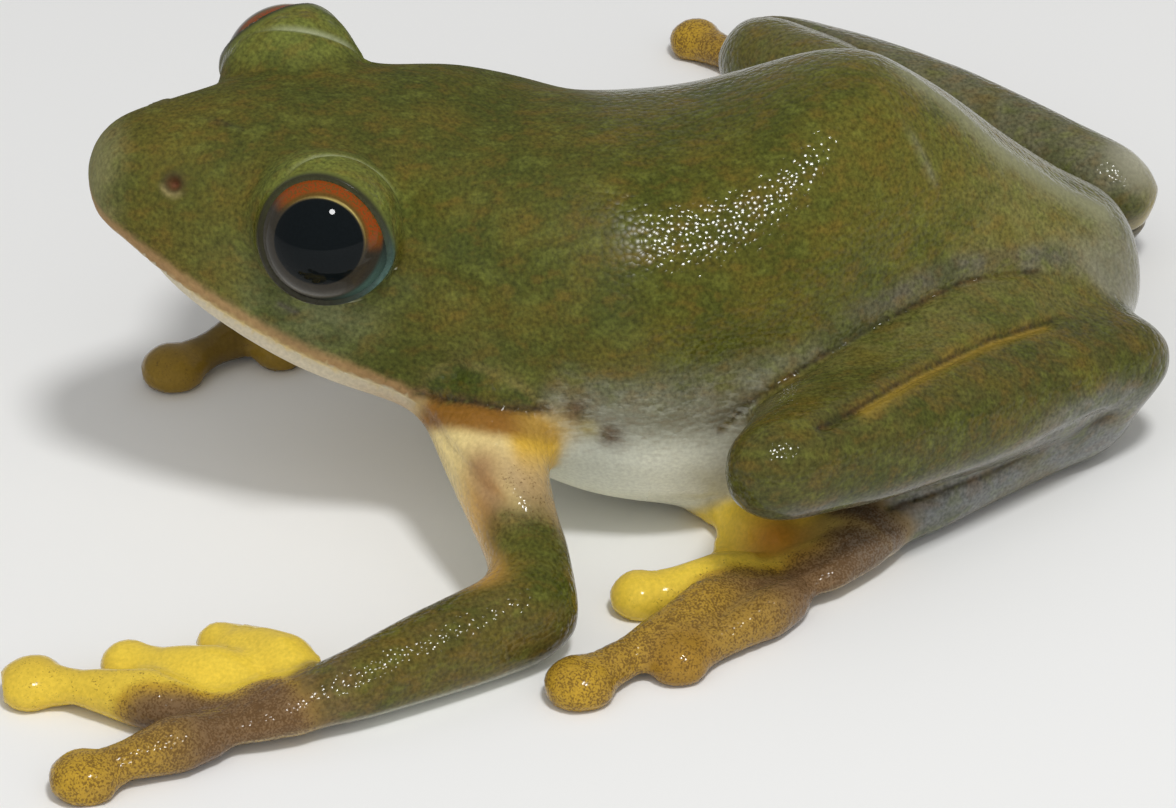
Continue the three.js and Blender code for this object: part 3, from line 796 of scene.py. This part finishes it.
# For each foot: its digits, those with yellow skin, those with brown, the limb above it, and how
# far single digits are browned.
DIGITS = {
    "hand": ("finger", (1, 2), (4,), "forearm", {3: 0.25, 4: 1.0}),
    "foot": ("toe", (1, 2, 3), (4, 5), "tarsus", {3: 0.1, 4: 1.0, 5: 0.75}),
}
BROWN_FROM = {"hand": (-1.1, 1.6), "foot": (-1.2, 1.0)}
AT_JOINT = {"hand": (-0.6, -0.1), "foot": (-1.9, -0.8)}
NEAR_JOINT = {"hand": (-2.6, -0.8), "foot": (-3.6, -1.4)}
palm = skin.on("hand")
sole = skin.on("foot")
from_palm = skin.away("hand", "foot", reach=6)
browned = np.zeros(len(body))
for side in SIDES:
    for foot, (digit, inner, outer, limb, shares) in DIGITS.items():
        zone = skin.on(f"{foot}_{side}", *(f"{digit}_{i}_{side}" for i in range(1, 6)), steps=5)
        in_far = skin.away(*(f"{digit}_{i}_{side}" for i in inner), reach=9)
        out_far = skin.away(*(f"{digit}_{i}_{side}" for i in outer), reach=9)
        limb_far = skin.away(f"{limb}_{side}", reach=5)
        by_limb = smooth(-limb_far, *NEAR_JOINT[foot])
        brown = smooth(in_far - out_far + 1.8 * by_limb, *BROWN_FROM[foot])
        brown = np.maximum(brown, smooth(-limb_far, *AT_JOINT[foot]))
        paint(LEMON, zone * (1 - smooth(brown, 0.3, 0.8)))
        paint(OCHRE, zone * smooth(brown, 0.15, 0.5))
        paint(SEPIA, zone * smooth(brown, 0.45, 1))
        freckle(0, zone * (1 - brown))
        freckle(0.2 + 0.45 * smooth(brown, 0.1, 0.8), zone * smooth(brown, 0.02, 0.15))
        browned = np.maximum(browned, zone * brown)
        for number, share in shares.items():
            here = skin.on(f"{digit}_{number}_{side}", steps=3)
            tip = smooth(pads, 0.12, 0.5)
            paint(OCHRE, here * share * np.maximum(tip, 0.75 * smooth(from_palm, 0.8, 3.5)))
            freckle(share * (0.62 - 0.08 * tip), here * np.maximum(share, 1 - smooth(brown, 0.02, 0.2)))
            browned = browned * (1 - 0.6 * here * tip)
paint(FIFTH_TOE, 0.5 * skin.on("toe_5") * smooth(pads, 0.1, 0.5))
heelward = 1 - smooth(skin.away("tarsus", reach=9), 1.5, 5)
paint(SLATE, 0.5 * sole * heelward)
# Orange skin on the web by the ankle, deepened by painted shadow from the shank over it.
paint(ORANGE_WEB_AND_SHADOW, 0.85 * near(ORANGE_WEB_AND_SHADOW_AT, 1.5) * (sole + skin.on("toe")))
# The far hand's fingers lie under the head: their pads and shafts are darkened as painted shade.
shaded_far_fingers = skin.on(*(f"finger_{i}_right" for i in range(1, 5)))
paint(SHADED_FAR_FINGER, 0.9 * shaded_far_fingers)
paint(SHADED_FAR_FINGER_BASE, 0.75 * shaded_far_fingers * (1 - smooth(pads, 0.1, 0.5)))
wrist = np.zeros(len(body))
for side in SIDES:
    by_hand = 1 - smooth(skin.away(f"hand_{side}", reach=5), 0.5, 3)
    wrist = np.maximum(wrist, skin.on(f"forearm_{side}") * by_hand)
paint(SEPIA, 0.5 * wrist)
paint(CREAM, 0.4 * (palm + sole) * smooth(-upward, 0.3, 0.7))

# Round the eye: a soot line at the lids' edge, slate below it, teal in the rear corner. The
# nostril is a red brown hole darkened further as painted shade, with a painted highlight on its lower
# rim.
EYE_BAG = (0.2, 0.22, 0.1)
EYE_CORNER = (0.1, 0.2, 0.18)
EYE_BAG_AT = (7.3, 0.3, -2.8)
NOSTRIL_HOLE_AND_SHADE = (0.16, 0.05, 0.025)
NOSTRIL_RIM_HIGHLIGHT = (0.42, 0.34, 0.14)
from_edge = angle - edge
rim = near_eye * bump(from_edge, 0.3, 4)
below = smooth(-np.sin(np.radians(turn)), -0.1, 0.5)
paint(SLATE, 0.8 * near_eye * bump(from_edge, 4, 4) * below)
paint(EYE_BAG, 0.5 * head * near(EYE_BAG_AT, 1.1, face) * smooth(from_edge, 5, 11))
paint(SOOT, 0.9 * rim)
in_corner = bump(turned_from(turn, CORNER_TURN), 0, 30)
paint(EYE_CORNER, 0.9 * near_eye * in_corner * bump(from_edge, 4, 8))
# The nostril's hole and its wall are darkened as painted shade, and its lower rim is lit as a painted
# highlight.
paint(SOOT, 0.6 * bump(nostril, 0.3, 0.22))
paint(NOSTRIL_HOLE_AND_SHADE, 0.95 * bump(nostril, 0, 0.24))
paint(NOSTRIL_RIM_HIGHLIGHT, 0.5 * bump(nostril, 0.46, 0.11) * smooth(NOSTRIL.z / MM - face[:, 2], 0, 0.3))

# What the finish varies by: how olive the skin is, how granular, how dry and how veined.
BEHIND_LID_AT = (5.4, 3.2, 1.6)
olive_share = np.clip(1 - 1.2 * (palm + sole + skin.on("finger", "toe")), 0, 1)
calm_spots = np.maximum(near_eye * smooth(-from_edge, -9, -5), bump(nostril, 0, 0.7))
grain = np.maximum(olive_share, browned) * (1 - calm_spots)
grain = np.clip(grain * smooth(upward, -0.6, 0.1) * (1 - 0.6 * belly * trunk), 0.12, 1)
grain = grain * (1 + 0.6 * forearm + 0.5 * browned)
olive_share *= smooth(-tint.max(axis=1), -0.24, -0.15) * (1 - calm_spots)
grain = np.where(inside > 0.5, 0, grain)
dry = skin.spread(np.maximum(head, trunk * (1 - smooth(body[:, 1], 10, 12.7))), 20)
dry = dry + 0.45 * near(BEHIND_LID_AT, 1.6, face)
marble = 0.7 * trunk * bump(body[:, 2], 6.2, 1.7) * smooth(-body[:, 1], -24, -19)


# ---- Skin: its finish ----
# Living frog skin is moist: fine round granules under a thin film of water that catches sharp
# sparkles. Brown freckles and a green and bronze mottle lie in it.
class Shade:
    """A value or colour in a material, worked on with plain arithmetic."""

    def __init__(self, tree, socket=None):
        self.tree = tree
        self.socket = socket

    def node(self, kind, settings=None, inputs=None, out=0):
        """Adds a node with its settings first, then the values or links of its sockets."""
        made = self.tree.nodes.new(kind)
        for name, value in (settings or {}).items():
            setattr(made, name, value)
        for name, value in (inputs or {}).items():
            if isinstance(value, Shade):
                self.tree.links.new(value.socket, made.inputs[name])
            else:
                made.inputs[name].default_value = value
        return Shade(self.tree, made.outputs[out])

    def maths(self, operation, first, second):
        return self.node("ShaderNodeMath", {"operation": operation}, {0: first, 1: second})

    def __add__(self, other):
        return self.maths("ADD", self, other)

    def __radd__(self, other):
        return self.maths("ADD", other, self)

    def __sub__(self, other):
        return self.maths("SUBTRACT", self, other)

    def __rsub__(self, other):
        return self.maths("SUBTRACT", other, self)

    def __mul__(self, other):
        return self.maths("MULTIPLY", self, other)

    def __rmul__(self, other):
        return self.maths("MULTIPLY", other, self)

    def ramp(self, low, high):
        """0 at low, 1 at high, and an even curve between."""
        settings = {"interpolation_type": "SMOOTHSTEP"}
        inputs = {"Value": self, "From Min": low, "From Max": high}
        return self.node("ShaderNodeMapRange", settings, inputs)

    def blend(self, colour, amount):
        """This colour with another laid over it."""
        return self.node("ShaderNodeMix", {"data_type": "RGBA"}, {0: amount, 6: self, 7: colour}, 2)

    def darken(self, amount):
        """This colour times a value."""
        return self.node("ShaderNodeVectorMath", {"operation": "SCALE"}, {0: self, "Scale": amount})

    def noise(self, size, detail=2, stretch=None):
        """Even noise about 0.5, whose grains are of a size in millimetres."""
        place = self if stretch is None else self.node("ShaderNodeMapping", None, {0: self, 3: stretch})
        inputs = {"Vector": place, "Scale": 1000 / size, "Detail": detail}
        return self.node("ShaderNodeTexNoise", None, inputs)

    def cells(self, size, out):
        """Round cells of a size in millimetres: out is Distance or Color."""
        return self.node("ShaderNodeTexVoronoi", None, {"Vector": self, "Scale": 1000 / size}, out)

    def attribute(self, name, out="Fac"):
        """A value painted at the mesh's points."""
        return self.node("ShaderNodeAttribute", {"attribute_name": name}, None, out)

    def feed(self, surface, socket):
        self.tree.links.new(self.socket, surface.inputs[socket])


def new_finish(name):
    """A material, its surface, and a start for the values and places in it."""
    made = bpy.data.materials.new(name)
    made.use_nodes = True
    begin = Shade(made.node_tree)
    place = begin.node("ShaderNodeTexCoord", out="Object")
    return made, made.node_tree.nodes["Principled BSDF"], begin, place


def painted_mesh(name, form, finish, colours, layers):
    """A smooth mesh that keeps its painted colours and values at its points."""
    made = bpy.data.meshes.new(name)
    form.to_mesh(made)
    made.polygons.foreach_set("use_smooth", [True] * len(made.polygons))
    painted = made.attributes.new("tint", "FLOAT_COLOR", "POINT")
    painted.data.foreach_set("color", np.column_stack((colours, np.ones(len(colours)))).ravel())
    for layer, values in layers.items():
        made.attributes.new(layer, "FLOAT", "POINT").data.foreach_set("value", values)
    made.materials.append(finish)
    return made


FRECKLE = (0.1, 0.05, 0.016)
PATCH_SIZE = 2.0            # sizes of the mottle, the grit, the veins, the freckles and the granules
BLOTCH_SIZE = 0.6
GRIT_SIZE = 0.16
VEIN_SIZE = 0.3
FRECKLE_SIZE = 0.09
FRECKLE_GROUPS = 0.5
GRANULE_SIZE = 0.27
PORE_SIZE = 0.12
GRANULE_HIGH = 0.022 * MM
WET_ROUGH = 0.06
WET_SPECULAR = 0.2
skin_finish, gloss, start, here = new_finish("moist_skin")
colour = start.attribute("tint", "Color")
olive = start.attribute("olive")
granule = start.attribute("grain")
freckled = start.attribute("speckle")
marbled = start.attribute("marble")
dried = start.attribute("dry")

patch = here.noise(PATCH_SIZE, 3, (1, 0.7, 1))
blotch = here.noise(BLOTCH_SIZE, 4, (1, 0.6, 1))
grit = here.noise(GRIT_SIZE, 3)
colour = colour.blend((*MOSS, 1), olive * 0.55 * patch.ramp(0.48, 0.68))
colour = colour.blend((*BRONZE, 1), olive * 0.55 * patch.ramp(0.52, 0.32))
colour = colour.blend((*RUST, 1), olive * 0.16 * blotch.ramp(0.5, 0.68))
colour = colour.blend((*LEAF, 1), olive * 0.3 * blotch.ramp(0.48, 0.32))
colour = colour.darken(1 + (grit - 0.5) * (0.5 + 1.3 * olive))
veins = here.noise(VEIN_SIZE, 4, (1, 0.5, 1.4))
colour = colour.blend((*UMBER, 1), marbled * 0.35 * veins.ramp(0.5, 0.68))
colour = colour.blend((*PEARL, 1), marbled * 0.22 * veins.ramp(0.48, 0.36))
fleck = here.noise(FRECKLE_SIZE, 2) + 0.3 * here.noise(FRECKLE_GROUPS, 1) + 0.4 * freckled
colour = colour.blend((*FRECKLE, 1), freckled.ramp(0.02, 0.12) * 0.7 * fleck.ramp(0.8, 1.0))
colour.feed(gloss, "Base Color")

from_cell = here.cells(GRANULE_SIZE, "Distance")
pore = here.noise(PORE_SIZE, 2)
relief = 0.1 * pore + 0.9 * here.noise(BLOTCH_SIZE, 1) - 1.6 * from_cell * from_cell
lumps = {"Height": granule * relief, "Distance": GRANULE_HIGH, "Strength": 1}
start.node("ShaderNodeBump", None, lumps).feed(gloss, "Normal")
(WET_ROUGH + 0.12 * blotch + 0.62 * dried).feed(gloss, "Roughness")
gloss.inputs["Specular IOR Level"].default_value = WET_SPECULAR

skin_layers = {"olive": olive_share, "grain": grain, "speckle": speckle, "marble": marble, "dry": dry}
skin_piece = placed("skin", painted_mesh("skin", skin.form, skin_finish, tint, skin_layers))
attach(skin_piece, "root")
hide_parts(*(node for node in nodes if not node.startswith("eye_")))


# ---- Eyes ----
# Each eye is a clear wet ball set under the lids: a wide black pupil in a dark iris that burns
# orange above, with a gold thread along the pupil's upper rim and a pale crescent below, partly a
# painted reflection of the room.
GAZE = Vector((0.862, -0.354, 0.329)).normalized()
PUPIL_WIDE = 0.665
PUPIL_TALL = 0.64
ORANGE = (0.26, 0.05, 0.007)
EMBER = (0.11, 0.06, 0.012)
IRIS = (0.035, 0.03, 0.022)
GOLD = (0.6, 0.48, 0.16)
PUPIL = (0.004, 0.006, 0.007)
CRESCENT_AND_REFLECTION = (0.15, 0.145, 0.13)
CRESCENT_TURN = 300         # degrees round the iris from its front, upward
TEAL_TURN = 215
THREAD_TURN = 112
DUST_SIZE = 0.1
WET_COAT_ROUGH = 0.015
WET_COAT_IOR = 1.22
EYE_STEPS = 150             # steps round the ball, and from pole to pole

eye_finish, gloss, start, here = new_finish("eye_gloss")
fire = start.attribute("fire")
dust = here.noise(DUST_SIZE, 2)
colour = start.attribute("tint", "Color")
colour = colour.blend((*EMBER, 1), fire * 0.85 * dust.ramp(0.46, 0.6))
colour = colour.darken(1 + (dust - 0.5) * 0.5)
colour.feed(gloss, "Base Color")
(0.3 + 0.2 * dust).feed(gloss, "Roughness")
gloss.inputs["Specular IOR Level"].default_value = 0
start.attribute("wet").feed(gloss, "Coat Weight")
gloss.inputs["Coat Roughness"].default_value = WET_COAT_ROUGH
gloss.inputs["Coat IOR"].default_value = WET_COAT_IOR

for side, turn in SIDES.items():
    gaze = head_axes @ Vector((GAZE.x * turn, GAZE.y, GAZE.z))
    forward = -head_back + head_back.dot(gaze) * gaze
    forward.normalize()
    over = forward.cross(gaze) * turn
    ball = bmesh.new()
    bmesh.ops.create_uvsphere(ball, u_segments=EYE_STEPS, v_segments=EYE_STEPS, radius=eyeball_radius)
    to_gaze = Matrix((forward, gaze.cross(forward), gaze)).transposed()
    bmesh.ops.rotate(ball, verts=ball.verts, matrix=to_gaze)
    ball.normal_update()
    place = np.array([vert.co for vert in ball.verts]) / eyeball_radius
    across, above, facing = place @ np.array(forward), place @ np.array(over), place @ np.array(gaze)
    bmesh.ops.translate(ball, verts=ball.verts, vec=eyeball_at[side])
    reach = np.hypot(across, above)
    reach = np.where(facing < 0, 2 - reach, reach)
    way = np.degrees(np.arctan2(above, across)) % 360
    pupil_rim = np.hypot(PUPIL_WIDE * np.cos(np.radians(way)), PUPIL_TALL * np.sin(np.radians(way)))
    arc = smooth(way, 20, 48) * fall(way, 160, 186)
    burning = arc * smooth(reach, 0.7, 0.755) * fall(reach, 0.885, 0.92)
    front_low = bump(turned_from(way, CRESCENT_TURN), 0, 62)
    rear_low = bump(turned_from(way, TEAL_TURN), 0, 28)
    thread = bump(reach, pupil_rim + 0.018, 0.01) * bump(way, THREAD_TURN, 40)
    iris = np.tile(np.array(IRIS), (len(place), 1))
    iris = laid(iris, EMBER, arc * smooth(reach, pupil_rim, pupil_rim + 0.03))
    iris = laid(iris, ORANGE, burning)
    # The pale grey crescent low at the front of the iris is partly a painted reflection.
    iris = laid(iris, CRESCENT_AND_REFLECTION, 0.85 * front_low * bump(reach, 0.86, 0.05))
    iris = laid(iris, SOOT, 0.9 * smooth(reach, 0.875, 0.92))
    iris = laid(iris, TEAL, 0.9 * rear_low * smooth(reach, 0.86, 0.93))
    iris = laid(iris, PUPIL, smooth(-reach, -pupil_rim - 0.008, -pupil_rim + 0.012))
    iris = laid(iris, GOLD, 0.95 * thread)
    eye_layers = {"fire": burning, "wet": 1 - 0.85 * smooth(reach, 0.8, 0.93)}
    eye_mesh = painted_mesh(f"eyeball_{side}", ball, eye_finish, iris, eye_layers)
    eyeball = placed(f"eyeball_{side}", eye_mesh)
    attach(eyeball, "root")
    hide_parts(f"eye_{side}")


# ---- Studio ----
# A plain pale floor and an even pale room, with one small high lamp that sparkles in the moist skin,
# and a wide soft lamp beside the camera that no surface mirrors.
TO_KEY = Vector((0.452, 0.126, 0.877)).normalized()
LAMPS_FROM = 450 * MM
KEY_WIDE = 0.07
KEY_POWER = 0.95
FILL_WIDE = 1.0
FILL_POWER = 1.5
ROOM = 0.34
FLOOR_PALE = (0.88, 0.88, 0.87)
FLOOR_ROUGH = 0.9
FLOOR_HALF = 1

floor = bmesh.new()
bmesh.ops.create_grid(floor, x_segments=1, y_segments=1, size=FLOOR_HALF)
floor_mesh = bpy.data.meshes.new("floor")
floor.to_mesh(floor_mesh)
floor_finish = bpy.data.materials.new("pale_floor")
floor_finish.use_nodes = True
matt = floor_finish.node_tree.nodes["Principled BSDF"]
matt.inputs["Base Color"].default_value = (*FLOOR_PALE, 1)
matt.inputs["Roughness"].default_value = FLOOR_ROUGH
floor_mesh.materials.append(floor_finish)
floor_piece = placed("floor", floor_mesh)

aim = camera.location - to_camera * LOOK_FROM


def disc_lamp(name, toward, wide, power):
    """A round lamp that stands off from the frog and shines on it."""
    light = bpy.data.lights.new(name, "AREA")
    light.shape = "DISK"
    light.size = wide
    light.energy = power
    stand = placed(name, light)
    stand.location = aim + toward * LAMPS_FROM
    stand.rotation_mode = "QUATERNION"
    stand.rotation_quaternion = toward.to_track_quat("Z", "Y")
    return stand


disc_lamp("key", TO_KEY, KEY_WIDE, KEY_POWER)
fill = disc_lamp("fill", to_camera, FILL_WIDE, FILL_POWER)
fill.visible_glossy = False

room = bpy.data.worlds.new("room")
room.use_nodes = True
room.node_tree.nodes["Background"].inputs["Color"].default_value = (ROOM, ROOM, ROOM, 1)
bpy.context.scene.world = room
bpy.context.scene.view_settings.view_transform = "Standard"
